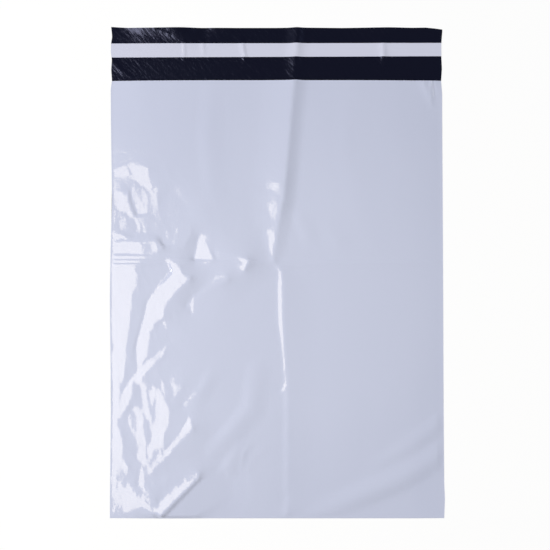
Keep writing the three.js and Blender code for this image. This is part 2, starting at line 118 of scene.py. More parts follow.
frontCreases = [
    # cross fold: a bundle of fine ridges on the left, one faint line on the right
    ("crisp", [(-151, 15.2, 0.4, 2.2, 2.4), (-122, 14.8, 0.4, 2.2, 2.4), (-96, 13, 0.25, 2, 3),
               (-70, 11, 0.1, 2, 3)]),
    ("crisp", [(-151, 11, 0.35, 1.8, 2), (-118, 11, 0.3, 1.8, 2), (-94, 10.4, 0.1, 1.8, 2)]),
    ("crisp", [(-151, 7.2, 0.4, 2, 2), (-128, 7.2, 0.35, 2, 2), (-100, 8, 0.25, 2, 2),
               (-60, 9.4, 0.1, 2, 2)]),
    # fine folds across the top of the bent facet
    ("crisp", [(-96, 6.5, 0.2, 2, 2), (-84, -2.5, 0.35, 2.5, 2), (-79, -5, 0.1, 2, 2)]),
    ("crisp", [(-98, 1, 0.1, 2, 2), (-90, -6, 0.3, 2.5, 2), (-85, -11, 0.1, 2, 2)]),
    ("crisp", [(-104, -8, 0.1, 2, 2), (-97, -14, 0.25, 2.5, 2), (-92, -17, 0.1, 2, 2)]),
    ("crisp", [(-100, 10, 0.2, 7, 5), (-62, 9.6, 0.5, 9, 5), (-30, 8.6, 0.4, 8, 5),
               (-4, 10, 0.4, 6, 6)]),
    ("crisp", [(-4, 9, 0.4, 6, 6), (30, 8.4, 0.35, 4, 5), (90, 8.8, 0.3, 4, 5),
               (150, 9.4, 0.25, 4, 5)]),
    ("crisp", [(3, 6, 0.2, 2, 3), (24, 5.6, 0.25, 2, 3), (34, 3.4, 0.1, 2, 3)]),
    # kink in the centre fold
    ("crisp", [(10.5, -101, 0.1, 2, 3), (7, -105, 0.6, 2.5, 3), (3.5, -109, 0.1, 2, 3)]),
    # ripples at the bottom left corner
    ("crisp", [(-152, -188, 0.3, 2.5, 2.5), (-144, -190, 0.35, 2.5, 2.5), (-136, -188, 0.1, 2, 2)]),
    ("crisp", [(-152, -194, 0.25, 2, 2), (-142, -195.5, 0.35, 2.5, 2.5), (-130, -194, 0.1, 2, 2)]),
    ("crisp", [(-150, -200, 0.2, 2, 2), (-138, -200, 0.3, 2, 2.5), (-124, -202, 0.1, 2, 2)]),
    # under the mouth at the right edge
    ("crisp", [(136, 177, 1.4, 6, 3), (138, 170, 1.2, 6, 3), (141, 156, 0.1, 5, 3)]),
    ("crisp", [(141.5, 177, 1.6, 3.5, 3), (142, 168, 1.2, 3.5, 3), (143, 152, 0.1, 3.5, 3)]),
    ("crisp", [(146, 177, 1.1, 2.5, 4), (150, 160, 0.3, 2.5, 3)]),
    # soft swells
    ("soft", [(-19, -90, 0.5, 12, 16), (-24, -124, 1.0, 12, 16), (-41, -145, 1.0, 11, 16),
              (-58, -162, 0.4, 10, 14)]),
    ("soft", [(-34, -160, 0.3, 8, 12), (-46, -181, 0.8, 9, 13), (-55, -195, 0.2, 8, 12)]),
    ("crisp", [(-22, -152, 0.1, 4, 5), (-30, -166, 0.35, 4, 5), (-33, -182, 0.1, 4, 5)]),
    ("crisp", [(-8, -160, 0.1, 4, 5), (-20, -168, 0.3, 4, 5), (-26, -180, 0.1, 4, 5)]),
    ("soft", [(-56, -84, 0.1, 9, 14), (-66, -104, 0.6, 8, 12), (-76, -128, 0.1, 8, 10)]),
    ("soft", [(40, -221, 0.6, 14, 14), (72, -207, 1.6, 16, 14), (110, -192, 1.8, 18, 14),
              (150, -168, 1.2, 16, 14)]),
    ("soft", [(90, -178, 0.2, 10, 12), (120, -160, 0.9, 12, 12), (150, -138, 0.8, 12, 12)]),
    ("soft", [(22, 48, 0.3, 9, 12), (28, 34, 0.5, 9, 12), (30, 24, 0.1, 8, 10)]),
    ("soft", [(48, 40, 0.2, 9, 12), (55, 28, 0.5, 9, 12), (58, 18, 0.1, 8, 10)]),
    ("soft", [(-60, 168, 0.3, 14, 16), (-64, 120, 0.5, 12, 18), (-58, 70, 0.2, 12, 16)]),
    ("soft", [(70, 170, 0.3, 14, 18), (64, 120, 0.4, 14, 18), (72, 60, 0.1, 12, 16)]),
]
# The flap curls, most at its upper left corner, and it is creased across
flapCurl = [
    ("soft", [(-119, 229, 3.0, 30, 50), (-121, 219, 1.2, 28, 44), (-126, 208, 0.2, 22, 30)]),
    ("soft", [(-86, 229, 4.0, 42, 20), (-88, 217, 1.2, 40, 22), (-94, 206, 0.2, 34, 24)]),
    ("soft", [(-92, 231, 1.8, 15, 16), (-93, 224, 0.5, 13, 14)]),
    ("soft", [(-57, 231, 1.6, 11, 24), (-60, 222, 0.4, 10, 20)]),
    ("soft", [(104, 228, 1.2, 40, 34), (112, 206, 0.2, 30, 30)]),
]
flapCreases = [
    ("crisp", [(-84.5, 199, 0.5, 3.5, 2), (-85, 212.5, 0.4, 3.5, 2)]),
    ("soft", [(-68, 212.5, 0.55, 4.5, 3.5), (-67, 206, 0.4, 4, 3), (-67, 200, 0.1, 3, 3)]),
    ("crisp", [(-31.5, 213, 0.9, 5, 3), (-29, 199, 0.75, 5, 3)]),
    ("crisp", [(97.5, 213, 1.3, 4, 4), (98.5, 199, 1.5, 4, 4), (99.5, 191, 0.1, 4, 4)]),
    ("soft", [(-152, 195, 0.3, 4, 6), (-140, 184, 0.3, 4, 6), (-132, 178, 0, 4, 5)]),
]

# Where the edges wander in the plane of the table: place along the edge, then how far out
leftWander = [(-226, 0.4), (-208, 0.35), (-160, -0.1), (-116, -0.5), (-70, 0.1), (-25, 0.65),
              (20, 0.0), (67, -1.25), (110, -0.6), (140, -0.2), (170, 0), (178, -1.1), (188, -0.3),
              (197, -1.0), (204, 0), (212, -0.2), (218, -1.2), (226, -0.2)]
rightWander = [(-226, 1.2), (-208, 1.9), (-190, 1.2), (-116, 0.75), (-25, 0.55), (67, 0.15),
               (140, -0.2), (165, -0.2), (177, -1.2), (188, -0.4), (198, -0.9), (210, -1.0),
               (222, -0.1), (226, 0.0)]
topWander = [(-153, 0.6), (-136, -0.4), (-60, -0.3), (0, -0.2), (17, 0.1), (28, 0.1), (60, -0.2),
             (104, 0.4), (124, 0.0), (137, 0.3), (146, -0.6), (153, -1.6)]

# The open mouth draws the flap in and turns it a little: place up the bag, then the shift along y
flapDrawn = [(137.5, 0), (157.5, -0.6), (177.5, -1.27), (199, -0.72), (212, -1.08), (225.5, -0.25)]
flapTurned = [(137.5, 0), (177.5, 0.1), (199, 0.6), (212, 0.3), (225.5, -0.15)]

# How far in from an edge its wander is felt, and the bump that the centre fold makes from the mouth up
edgeReach = {"side": 14.0, "top": 8.0}
foldBump = {"place": 18.0, "width": 4.0, "shift": 0.25, "start": 6.0}

# A facet is a flat patch between sharp folds: its slope along x and y, then its corners
facets = [
    # left edge above the cross fold
    (0.1, 0.05, [(-152, 94), (-137, 97.5), (-134.6, 91), (-133, 86), (-152, 87)]),
    (0.12, 0.05, [(-136.4, 97.4), (-118, 96.5), (-117, 85), (-114, 77.5), (-121.7, 80.9),
                  (-132.8, 90)]),
    (0.0, 0.0, [(-152, 86), (-136, 88), (-129, 84.5), (-120, 78.5), (-111, 75), (-116, 74.5),
                (-136, 76), (-152, 75)]),
    (0.01, 0.0, [(-152, 59), (-138, 55), (-130, 49), (-127, 42), (-130, 35), (-142, 37), (-152, 38)]),
    (0.045, 0.0, [(-129, 50), (-115, 53), (-107, 58), (-102, 48), (-106, 34), (-112, 36), (-126, 36),
                  (-126, 42)]),
    (0.06, 0.0, [(-108, 62), (-98, 74), (-84, 62), (-78, 38), (-84, 26), (-104, 26), (-106, 34),
                 (-102, 48), (-107, 58)]),
    (0.1, 0.03, [(-152, 75), (-136.8, 75), (-135.9, 63.5), (-131.6, 52.8), (-137.3, 57), (-152, 60)]),
    (0.084, 0.03, [(-134.2, 75), (-116, 76.3), (-110, 71), (-108, 61.6), (-115, 55), (-127.2, 52.5),
                   (-130.5, 60.7), (-133.2, 70)]),
    (0.1, 0.04, [(-152, 37), (-143.8, 36), (-136, 31), (-152, 30)]),
    (0.11, 0.03, [(-152, 27.5), (-125.4, 28.4), (-119, 25), (-121.7, 18), (-152, 18)]),
    (0.086, 0.02, [(-125, 28.4), (-111, 29), (-104, 23), (-112, 18), (-123, 18)]),
    # tent and flecks along the fold
    (0.118, 0.0, [(-58, 20), (-38, 16), (-34, 10), (-56, 11.5)]),
    (0.16, 0.0, [(-71.8, 33.2), (-75.8, 12), (-57, 12), (-63.9, 24.9)]),
    (0.19, 0.0, [(-39, 15.7), (-25.3, 11), (-28.9, 2.8), (-31.7, 8.4)]),
    (0.1, 0.0, [(-103, 38), (-99, 36), (-99.5, 28), (-102, 31)]),
    (0.095, 0.0, [(-97, 27), (-94, 27), (-88, 44), (-90.5, 44)]),
    (0.108, 0.0, [(-83, -30), (-66, -12), (-62, -15), (-78, -31)]),
    (0.12, 0.0, [(-66, -12), (-46, -3), (-44, -6), (-62, -15)]),
    (0.13, 0.0, [(-78, -22), (-75.5, -22), (-76, -36), (-79, -36)]),
    # left of the centre fold
    (0.178, 0.0, [(-10.8, 38), (-6.5, 33), (-5.5, 27), (-1.5, 32), (0.3, 34), (-1, 25), (-3.4, 17),
                  (-5, 13.5), (-7.5, 21), (-8.4, 26.7)]),
    (0.156, 0.02, [(-10.8, 60), (-7.4, 54), (-4.7, 47), (-1.5, 49), (2.3, 56), (2.9, 63), (-2.3, 62),
                   (-10, 62)]),
    (0.158, 0.03, [(-9.6, 82), (4.4, 82), (4, 76.3), (-10.6, 75.4)]),
    # left edge below the cross fold
    (0.1, 0.0, [(-152, 5), (-137.3, 4.5), (-129.5, 0), (-130, -10), (-135.5, -20), (-136.4, -29),
                (-134.6, -39), (-136.4, -52), (-139.2, -75), (-139.2, -88), (-152, -88)]),
    (0.0, 0.0, [(-152.5, -59.6), (-148.4, -67.9), (-152.5, -73.4)]),
    (0.01, 0.0, [(-127, 0), (-110, 0), (-112, -12), (-121, -26), (-124, -40), (-128, -54),
                 (-132, -70), (-136, -80), (-136.5, -60), (-134, -45), (-132.5, -35), (-133.5, -22),
                 (-128, -10)]),
    (0.02, 0.0, [(-124, 4), (-100, 8), (-97, 1), (-109, -12), (-112, -12), (-110, 0), (-127, 0)]),
    # long bent facet
    (0.13, 0.0, [(-97.8, 11), (-88.7, 4.7), (-85, -2.7), (-78.5, -5.4), (-88.7, -14.6),
                 (-101.5, -29.3), (-103.4, -40.3), (-118, -52.3), (-121.7, -58.7), (-119, -64.2),
                 (-120, -77), (-127.2, -89), (-129.5, -68), (-125.4, -52.3), (-121.7, -36.7),
                 (-119, -25.6), (-108, -12.8), (-95, 0)]),
    (0.03, 0.0, [(-117, -54), (-105, -46), (-97, -62), (-113, -78), (-118, -76), (-117, -64)]),
    (0.13, -0.02, [(-98, -64), (-104, -78), (-125, -93), (-131, -96), (-127, -89), (-115, -78)]),
    (0.04, 0.0, [(-103, -80), (-98, -66), (-88, -76), (-100, -98), (-112, -104), (-124, -100),
                 (-124, -94)]),
    # crumpled corner
    (0.095, 0.0, [(-152.5, -88), (-139.2, -88), (-141, -98), (-145.6, -115), (-145.6, -126),
                  (-147.5, -146), (-152.5, -146)]),
    (0.0, 0.0, [(-144.7, -102), (-132.8, -96.4), (-138, -106), (-144.7, -114)]),
    (0.092, 0.0, [(-132.8, -101), (-132, -110), (-138.5, -125.8), (-145.6, -131.3), (-145, -122),
                  (-138, -110)]),
    (0.1, 0.0, [(-125.4, -105.6), (-112.5, -111), (-108.9, -120.3), (-105.2, -121.2), (-108, -136.8),
                (-115.3, -149.7), (-121.7, -125.8)]),
    (0.02, 0.0, [(-120, -108), (-118.4, -108), (-114.5, -128), (-116, -129)]),
    (0.02, 0.0, [(-112.4, -116), (-110.8, -117.5), (-113.2, -140), (-114.6, -139)]),
    (0.13, 0.0, [(-108.9, -121.2), (-99.7, -121.2), (-94.2, -135.9), (-105.2, -131.3)]),
    (0.13, 0.0, [(-110.7, -138.6), (-105.2, -138.6), (-108, -153.3), (-112.5, -157)]),
    (0.093, 0.0, [(-136, -136), (-132.5, -136.8), (-124, -155.2), (-126, -162), (-129, -152)]),
    (0.1, 0.01, [(-143.8, -146), (-141, -154.3), (-142, -169), (-146.5, -186.4), (-152, -185.5),
                 (-149.3, -162.5)]),
    (0.03, 0.0, [(-98, -128), (-90, -133), (-81, -135), (-91, -149), (-103, -161), (-104, -150),
                 (-98, -140)]),
    (0.14, 0.0, [(-78.5, -137), (-76, -143), (-93, -161), (-106, -175), (-104, -165), (-92, -150)]),
    (0.11, 0.0, [(-104, -162), (-106, -175), (-118, -186), (-119, -181), (-110, -168)]),
    (0.1, 0.0, [(-126.3, -160.7), (-115.3, -157), (-112.5, -170.8), (-121.7, -178.1), (-129, -169)]),
    (0.03, 0.0, [(-122.4, -160), (-121, -159), (-117, -172), (-118.6, -173.5)]),
    (0.1, 0.02, [(-144, -170), (-136.5, -177), (-138, -190), (-146, -195.6)]),
    (0.09, 0.02, [(-125.4, -180), (-114.4, -173.6), (-116.2, -184.6), (-127.2, -193.8)]),
    (0.03, 0.0, [(-123, -138), (-117.5, -136), (-114.5, -150), (-117, -158), (-121, -152)]),
    (0.03, 0.0, [(-136, -128), (-131, -125), (-128, -134), (-129, -146), (-133, -142)]),
    (0.11, 0.0, [(-89, -104), (-86, -105), (-95, -118), (-98, -117)]),
    (0.12, 0.0, [(-75, -108), (-72, -110), (-84, -122), (-87, -121)]),
    (0.115, 0.0, [(-115, -105), (-107, -109), (-101.5, -119.3), (-109, -118)]),
    (0.11, 0.0, [(-107, -96.4), (-103.4, -102), (-97.8, -114.7), (-104.3, -109)]),
    (0.03, 0.0, [(-151, -184.6), (-140, -181), (-134.6, -188), (-138, -194), (-150, -190)]),
    (0.04, 0.0, [(-125, -190), (-104, -196), (-99, -198), (-85, -190), (-86, -182), (-98, -184),
                 (-112, -187)]),
    (-0.04, 0.03, [(-70, -191), (-90, -211), (-100, -223), (-74, -223), (-44, -204), (-48, -184)]),
    # kink in the centre fold
    (0.21, -0.04, [(8.8, -100), (11, -102.5), (6, -110.3), (3, -109)]),
    (0.18, 0.0, [(6.4, -113), (8.2, -113), (8.6, -124), (7.2, -124)]),
    (0.18, 0.0, [(7.2, -136), (8.6, -136), (9, -150), (7.8, -150)]),
    (0.17, 0.0, [(7.6, -172), (9, -172), (9, -178), (8, -178)]),
    (0.17, 0.0, [(8, -205), (9.4, -205), (9.6, -221), (8.6, -221)]),
    # along the bottom
    (0.19, 0.01, [(-152, -203.9), (-132.8, -203.9), (-118, -208.5), (-118, -218), (-131.8, -212),
                  (-152, -209.4)]),
    (0.13, 0.0, [(-122, -206), (-112, -208), (-108, -214), (-112, -221), (-118, -218)]),
    (0.16, -0.12, [(-112, -213), (-99, -203), (-87, -195), (-73, -187), (-76, -193), (-92, -209),
                   (-106, -223)]),
    (0.14, 0.0, [(-77, -188), (-71, -185), (-72, -190)]),
]

# How the film between the facets follows: slack is its stiffness, where a facet has 1, and calm is
# how far off a facet's height is still felt
settle = {"cell": 1.0, "slack": 0.012, "calm": 90.0, "steps": 300}


def rise(distance, length):  # steep at a weld, level at the end of the rise
    return 1 - (1 - np.clip(distance / length, 0, 1)) ** 2


def fade(distance, length):  # level at both ends
    t = np.clip(distance / length, 0, 1)
    return t * t * (3 - 2 * t)


flankShapes = {
    "crisp": lambda t: (1 - t) ** 1.5,
    "soft": lambda t: (1 - t) ** 2 * (1 + 2 * t),
}


def creaseLift(crease, x, y):
    form, points = crease
    lift = np.zeros_like(x)
    longest = max(max(point[3:]) for point in points)
    xs, ys = [point[0] for point in points], [point[1] for point in points]
    near = (x > min(xs) - longest) & (x < max(xs) + longest)
    near &= (y > min(ys) - longest) & (y < max(ys) + longest)
    if not near.any():
        return lift
    px, py = x[near], y[near]
    nearest = np.full(px.shape, np.inf)
    height, reach = np.zeros(px.shape), np.ones(px.shape)
    for a, b in zip(points, points[1:]):
        dx, dy = b[0] - a[0], b[1] - a[1]
        along = np.clip(((px - a[0]) * dx + (py - a[1]) * dy) / (dx * dx + dy * dy), 0, 1)
        away = np.hypot(px - a[0] - along * dx, py - a[1] - along * dy)
        side = dx * (py - a[1]) - dy * (px - a[0])
        upTheBag = abs(dy) > abs(dx) * levelLine
        onLeft = side * (np.sign(dy) if upTheBag else np.sign(dx)) > 0
        closer = away < nearest
        left = a[3] + along * (b[3] - a[3])
        right = a[4] + along * (b[4] - a[4])
        nearest = np.where(closer, away, nearest)
        height = np.where(closer, a[2] + along * (b[2] - a[2]), height)
        reach = np.where(closer, np.where(onLeft, left, right), reach)
    lift[near] = height * flankShapes[form](np.minimum(nearest / reach, 1))
    return lift


def restingGap(x, y):  # between the walls of a smooth pouch
    opening = rise(y - bottomY, film["foldRise"])
    return film["restGap"] + film["loft"] * opening * rise(weldLine - np.abs(x), film["sideRise"])


def foldRelief(x, y):  # what the folds and creases add on the front wall
    relief = creaseLift(centreFold, x, y)
    for crease in frontCreases:
        relief = relief + creaseLift(crease, x, y)
    return relief * fade(y - bottomY, film["bottomCalm"]) * fade(weldLine - np.abs(x), film["weldCalm"])


def inside(corners, x, y):
    odd = np.zeros(x.shape, bool)
    for (ax, ay), (bx, by) in zip(corners, corners[1:] + corners[:1]):
        crossed = (ay > y) != (by > y)
        across = ax + (y - ay) / (by - ay if by != ay else 1) * (bx - ax)
        odd ^= crossed & (x < across)
    return odd


def coverage(corners, x, y):  # how much of each cell lies in the facet
    cell = settle["cell"]
    xs, ys = zip(*corners)
    near = (x > min(xs) - cell) & (x < max(xs) + cell) & (y > min(ys) - cell) & (y < max(ys) + cell)
    share = np.zeros(x.shape)
    offsets = (-0.375, -0.125, 0.125, 0.375)
    for offX in offsets:
        for offY in offsets:
            hit = inside(corners, x[near] + offX * cell, y[near] + offY * cell)
            share[near] += hit / len(offsets) ** 2
    return share


def pressedSlopes(x, y, restSlope, lean):  # lean 0 is a facet's slope along x, and 1 along y
    slope = np.zeros(x.shape)
    stiffness = np.full(x.shape, settle["slack"])
    for facet in facets:
        here = coverage(facet[2], x, y)
        slope += here * (facet[lean] - restSlope - slope)
        stiffness += here * (1 - stiffness)
    return slope, stiffness


def settledRelief():  # lets the slack film round the facets take up their heights
    gridX = np.linspace(-weldLine, weldLine, round(2 * weldLine / settle["cell"]) + 1)
    gridY = np.linspace(bottomY, mouthY, round(film["pouch"] / settle["cell"]) + 1)
    stepX, stepY = gridX[1] - gridX[0], gridY[1] - gridY[0]
    x, y = np.meshgrid(gridX, gridY)
    resting = restingGap(x, y) + foldRelief(x, y)
    restX, restY = np.diff(resting, axis=1) / stepX, np.diff(resting, axis=0) / stepY
    slopeX, stiffX = pressedSlopes((x[:, 1:] + x[:, :-1]) / 2, y[:, 1:], restX, 0)
    slopeY, stiffY = pressedSlopes(x[1:], (y[1:] + y[:-1]) / 2, restY, 1)
    spring = settle["slack"] / settle["calm"] ** 2

    def gathered(flowX, flowY):  # held at zero along the welds and the bottom fold
        total = np.zeros(x.shape)
        total[:, 1:] += flowX / stepX
        total[:, :-1] -= flowX / stepX
        total[1:] += flowY / stepY
        total[:-1] -= flowY / stepY
        total[:, [0, -1]] = 0
        total[0] = 0
        return total

    def pushBack(lift):
        held = lift.copy()
        held[:, [0, -1]] = 0
        held[0] = 0
        slopes = np.diff(held, axis=1) / stepX, np.diff(held, axis=0) / stepY
        return gathered(stiffX * slopes[0], stiffY * slopes[1]) + spring * held

    # conjugate gradients, from flat
    lift = np.zeros(x.shape)
    unmet = gathered(stiffX * slopeX, stiffY * slopeY)
    course = unmet.copy()
    size = (unmet * unmet).sum()
    for _ in range(settle["steps"]):
        pushed = pushBack(course)
        stride = size / (course * pushed).sum()
        lift += stride * course
        unmet -= stride * pushed
        newSize = (unmet * unmet).sum()
        course = unmet + newSize / size * course
        size = newSize
    return gridX, gridY, lift


facetRelief = settledRelief()


def facetLift(x, y):  # the settled relief between its grid points
    gridX, gridY, lift = facetRelief
    u = np.clip((x - gridX[0]) / (gridX[1] - gridX[0]), 0, len(gridX) - 1.001)
    v = np.clip((y - gridY[0]) / (gridY[1] - gridY[0]), 0, len(gridY) - 1.001)
    i, j = u.astype(int), v.astype(int)
    u, v = u - i, v - j
    upper = lift[j + 1, i] * (1 - u) + lift[j + 1, i + 1] * u
    lower = lift[j, i] * (1 - u) + lift[j, i + 1] * u
    return lower * (1 - v) + upper * v


def wallGap(x, y):
    fromWeld = weldLine - np.abs(x)
    gap = restingGap(x, y) + foldRelief(x, y) + facetLift(x, y)
    least = film["restGap"] * np.clip(fromWeld / film["restRise"], 0, 1)
    return least + np.clip(fromWeld, 0, 1) * np.maximum(gap - film["restGap"], 0)


def flapHeight(x, y):
    pastMouth = np.clip((y - mouthY) / film["flap"], 0, 1)
    curl = sum((creaseLift(crease, x, y) for crease in flapCurl), np.zeros_like(x))
    creased = sum((creaseLift(crease, x, y) for crease in flapCreases), np.zeros_like(x))
    return creaseLift(flapFold, x, y) + curl * pastMouth + creased * fade(pastMouth, film["flapCalm"])


def wander(x, y):  # shifts in the table's plane
    side, top = edgeReach["side"], edgeReach["top"]
    left = np.interp(y, *zip(*leftWander)) * fade(-x - halfWidth + side, side)
    right = np.interp(y, *zip(*rightWander)) * fade(x - halfWidth + side, side)
    up = np.interp(x, *zip(*topWander)) * fade(y - flapEndY + top, top)
    bump = foldBump["shift"] * np.exp(-(((x - foldBump["place"]) / foldBump["width"]) ** 2))
    bump = bump * fade(y - mouthY + foldBump["start"], foldBump["start"])
    drawn = np.interp(y, *zip(*flapDrawn)) + np.interp(y, *zip(*flapTurned)) * x / halfWidth
    return x - left + right, y + up + bump + drawn


print("film's shape worked out")

# The film's surface, in metres on the bag
filmEffects = {
    "paintedLightestAt": (0.005, -0.055, 0.0),  # painted shade: the colour is lightest round this place and darker towards the film's edges and corners
    "paintedShadeReach": (0.29, 0.21, 1.0),
    "paintedShadeStrength": -0.9,
    "gaugeNoise": {"Scale": 9.0, "Detail": 3.0, "Roughness": 0.6},
    "gaugeStretch": (1.0, 0.35, 1.0),
    "waveNoise": {"Scale": 170.0, "Detail": 2.5, "Roughness": 0.55},
    "crumpleTurn": 14.0,  # degrees
    "crumpleStretch": (1.0, 2.2, 1.0),
    "crumpleCells": {"Scale": 110.0, "Randomness": 1.0},
    "crumpleNoise": {"Scale": 40.0, "Detail": 1.0},
    "crumpleBend": 0.012,  # how far the noise bends the cells' edges
    "crumpleX": (-0.07, -0.11),  # from none to all, towards the left edge
    "crumpleY": (0.1, 0.07),  # from none to all, below the calm top
    "brushTurn": 42.0,  # degrees
    "brushStretch": (1.0, 5.0, 1.0),
    "brushNoise": {"Scale": 420.0, "Detail": 2.0, "Roughness": 0.6},
    "bumpDistance": 0.00016,
    "IOR": 1.52,
}


def newGroup(name, inputs, outputs):
    tree = bpy.data.node_groups.new(name, "ShaderNodeTree")
    for socketName, kind, value in inputs:
        socket = tree.interface.new_socket(socketName, in_out="INPUT", socket_type=kind)
        socket.default_value = value
    for socketName, kind in outputs:
        tree.interface.new_socket(socketName, in_out="OUTPUT", socket_type=kind)
    return tree, tree.nodes.new("NodeGroupInput"), tree.nodes.new("NodeGroupOutput")


def addNode(tree, kind, inputs=(), **settings):
    node = tree.nodes.new(kind)
    for setting, value in settings.items():
        setattr(node, setting, value)
    for socket, value in dict(inputs).items():
        node.inputs[socket].default_value = value
    return node


def mathOf(tree, operation, one, other):
    node = addNode(tree, "ShaderNodeMath", operation=operation)
    tree.links.new(one, node.inputs[0])
    tree.links.new(other, node.inputs[1])
    return node.outputs["Value"]


def turned(tree, vector, degrees, stretch):  # turns a pattern on the bag, then stretches it
    turn = {"Rotation": (0, 0, math.radians(degrees)), "Scale": stretch}
    mapping = addNode(tree, "ShaderNodeMapping", turn, vector_type="TEXTURE")
    tree.links.new(vector, mapping.inputs["Vector"])
    return mapping.outputs["Vector"]


def gaugeAndPaintedShade(tree, place, given, made):  # colour and roughness; the colour has random mottling and a painted shade that is darker towards the film's edges
    link = tree.links.new
    stretch = addNode(tree, "ShaderNodeMapping", {"Scale": filmEffects["gaugeStretch"]})
    noise = addNode(tree, "ShaderNodeTexNoise", filmEffects["gaugeNoise"])
    link(place, stretch.inputs["Vector"])
    link(stretch.outputs["Vector"], noise.inputs["Vector"])
    # painted shade: a broad gradient that mixes in the deep colour towards the edges of the film, flap
    # and liner
    middle = {"Location": filmEffects["paintedLightestAt"], "Scale": filmEffects["paintedShadeReach"]}
    centred = addNode(tree, "ShaderNodeMapping", middle, vector_type="TEXTURE")
    paintedLightest = addNode(tree, "ShaderNodeTexGradient", gradient_type="SPHERICAL")
    link(place, centred.inputs["Vector"])
    link(centred.outputs["Vector"], paintedLightest.inputs["Vector"])
    gaugeAndShade = addNode(tree, "ShaderNodeMath", operation="MULTIPLY_ADD")
    gaugeAndShade.inputs[1].default_value = filmEffects["paintedShadeStrength"]
    link(paintedLightest.outputs["Fac"], gaugeAndShade.inputs[0])
    link(noise.outputs["Fac"], gaugeAndShade.inputs[2])
    mix = addNode(tree, "ShaderNodeMix", data_type="RGBA")
    link(gaugeAndShade.outputs["Value"], mix.inputs["Factor"])
    link(given.outputs["Colour"], mix.inputs["A"])
    link(given.outputs["Deep Colour"], mix.inputs["B"])
    link(mix.outputs["Result"], made.inputs["Colour"])
    rough = addNode(tree, "ShaderNodeMapRange")
    link(given.outputs["Smoothest"], rough.inputs["To Min"])
    link(given.outputs["Roughest"], rough.inputs["To Max"])
    link(noise.outputs["Fac"], rough.inputs["Value"])
    link(rough.outputs["Result"], made.inputs["Roughness"])


def crumpleMask(tree, value, ends):  # from none at the first place to all at the second
    mask = addNode(tree, "ShaderNodeMapRange", {"From Min": ends[0], "From Max": ends[1]})
    tree.links.new(value, mask.inputs["Value"])
    return mask.outputs["Result"]


def crumples(tree, place, strength):  # small facets near the left edge
    link = tree.links.new
    noise = addNode(tree, "ShaderNodeTexNoise", filmEffects["crumpleNoise"])
    bend = {"Scale": filmEffects["crumpleBend"]}
    shift = addNode(tree, "ShaderNodeVectorMath", bend, operation="SCALE")
    shifted = addNode(tree, "ShaderNodeVectorMath", operation="ADD")
    link(place, noise.inputs["Vector"])
    link(noise.outputs["Color"], shift.inputs[0])
    link(place, shifted.inputs[0])
    link(shift.outputs["Vector"], shifted.inputs[1])
    cells = addNode(tree, "ShaderNodeTexVoronoi", filmEffects["crumpleCells"], feature="F1")
    pattern = turned(
        tree, shifted.outputs["Vector"], filmEffects["crumpleTurn"], filmEffects["crumpleStretch"]
    )
    link(pattern, cells.inputs["Vector"])
    axes = addNode(tree, "ShaderNodeSeparateXYZ")
    link(place, axes.inputs["Vector"])
    height = mathOf(tree, "MULTIPLY", cells.outputs["Distance"], strength)
    nearSide = crumpleMask(tree, axes.outputs["X"], filmEffects["crumpleX"])
    belowTop = crumpleMask(tree, axes.outputs["Y"], filmEffects["crumpleY"])
    return mathOf(tree, "MULTIPLY", mathOf(tree, "MULTIPLY", height, nearSide), belowTop)


def brushing(tree, place, strength):  # fine slanted lines
    noise = addNode(tree, "ShaderNodeTexNoise", filmEffects["brushNoise"])
    slanted = turned(tree, place, filmEffects["brushTurn"], filmEffects["brushStretch"])
    tree.links.new(slanted, noise.inputs["Vector"])
    return mathOf(tree, "MULTIPLY", noise.outputs["Fac"], strength)


def waves(tree, place, strength):
    noise = addNode(tree, "ShaderNodeTexNoise", filmEffects["waveNoise"])
    tree.links.new(place, noise.inputs["Vector"])
    return mathOf(tree, "MULTIPLY", noise.outputs["Fac"], strength)


def filmSurfaceGroup():  # shared by the film's two colours and the liner
    tree, given, made = newGroup(
        "filmSurface",
        [
            ("Colour", "NodeSocketColor", (0.6, 0.6, 0.7, 1)),
            ("Deep Colour", "NodeSocketColor", (0.5, 0.5, 0.6, 1)),
            ("Waves", "NodeSocketFloat", 1.0),
            ("Crumples", "NodeSocketFloat", 0.0),
            ("Brushing", "NodeSocketFloat", 0.0),
            ("Smoothest", "NodeSocketFloat", 0.1),
            ("Roughest", "NodeSocketFloat", 0.2),
        ],
        [("Colour", "NodeSocketColor"), ("Roughness", "NodeSocketFloat"), ("Height", "NodeSocketFloat")],
    )
    place = addNode(tree, "ShaderNodeTexCoord").outputs["Object"]
    gaugeAndPaintedShade(tree, place, given, made)
    height = mathOf(
        tree,
        "ADD",
        waves(tree, place, given.outputs["Waves"]),
        crumples(tree, place, given.outputs["Crumples"]),
    )
    height = mathOf(tree, "ADD", height, brushing(tree, place, given.outputs["Brushing"]))
    tree.links.new(height, made.inputs["Height"])
    return tree


filmSurface = filmSurfaceGroup()


def filmMaterial(name, look):
    material = bpy.data.materials.new(name)
    material.use_nodes = True
    tree = material.node_tree
    shader = tree.nodes["Principled BSDF"]
    surface = tree.nodes.new("ShaderNodeGroup")
    surface.node_tree = filmSurface
    for socket, value in look["surface"].items():
        surface.inputs[socket].default_value = value
    for socket, value in look["shader"].items():
        shader.inputs[socket].default_value = value
    shader.inputs["IOR"].default_value = filmEffects["IOR"]
    relief = {"Strength": 1.0, "Distance": filmEffects["bumpDistance"]}
    bump = addNode(tree, "ShaderNodeBump", relief)
    link = tree.links.new
    link(surface.outputs["Colour"], shader.inputs["Base Color"])
    link(surface.outputs["Roughness"], shader.inputs["Roughness"])
    link(surface.outputs["Height"], bump.inputs["Height"])
    link(bump.outputs["Normal"], shader.inputs["Normal"])
    return material


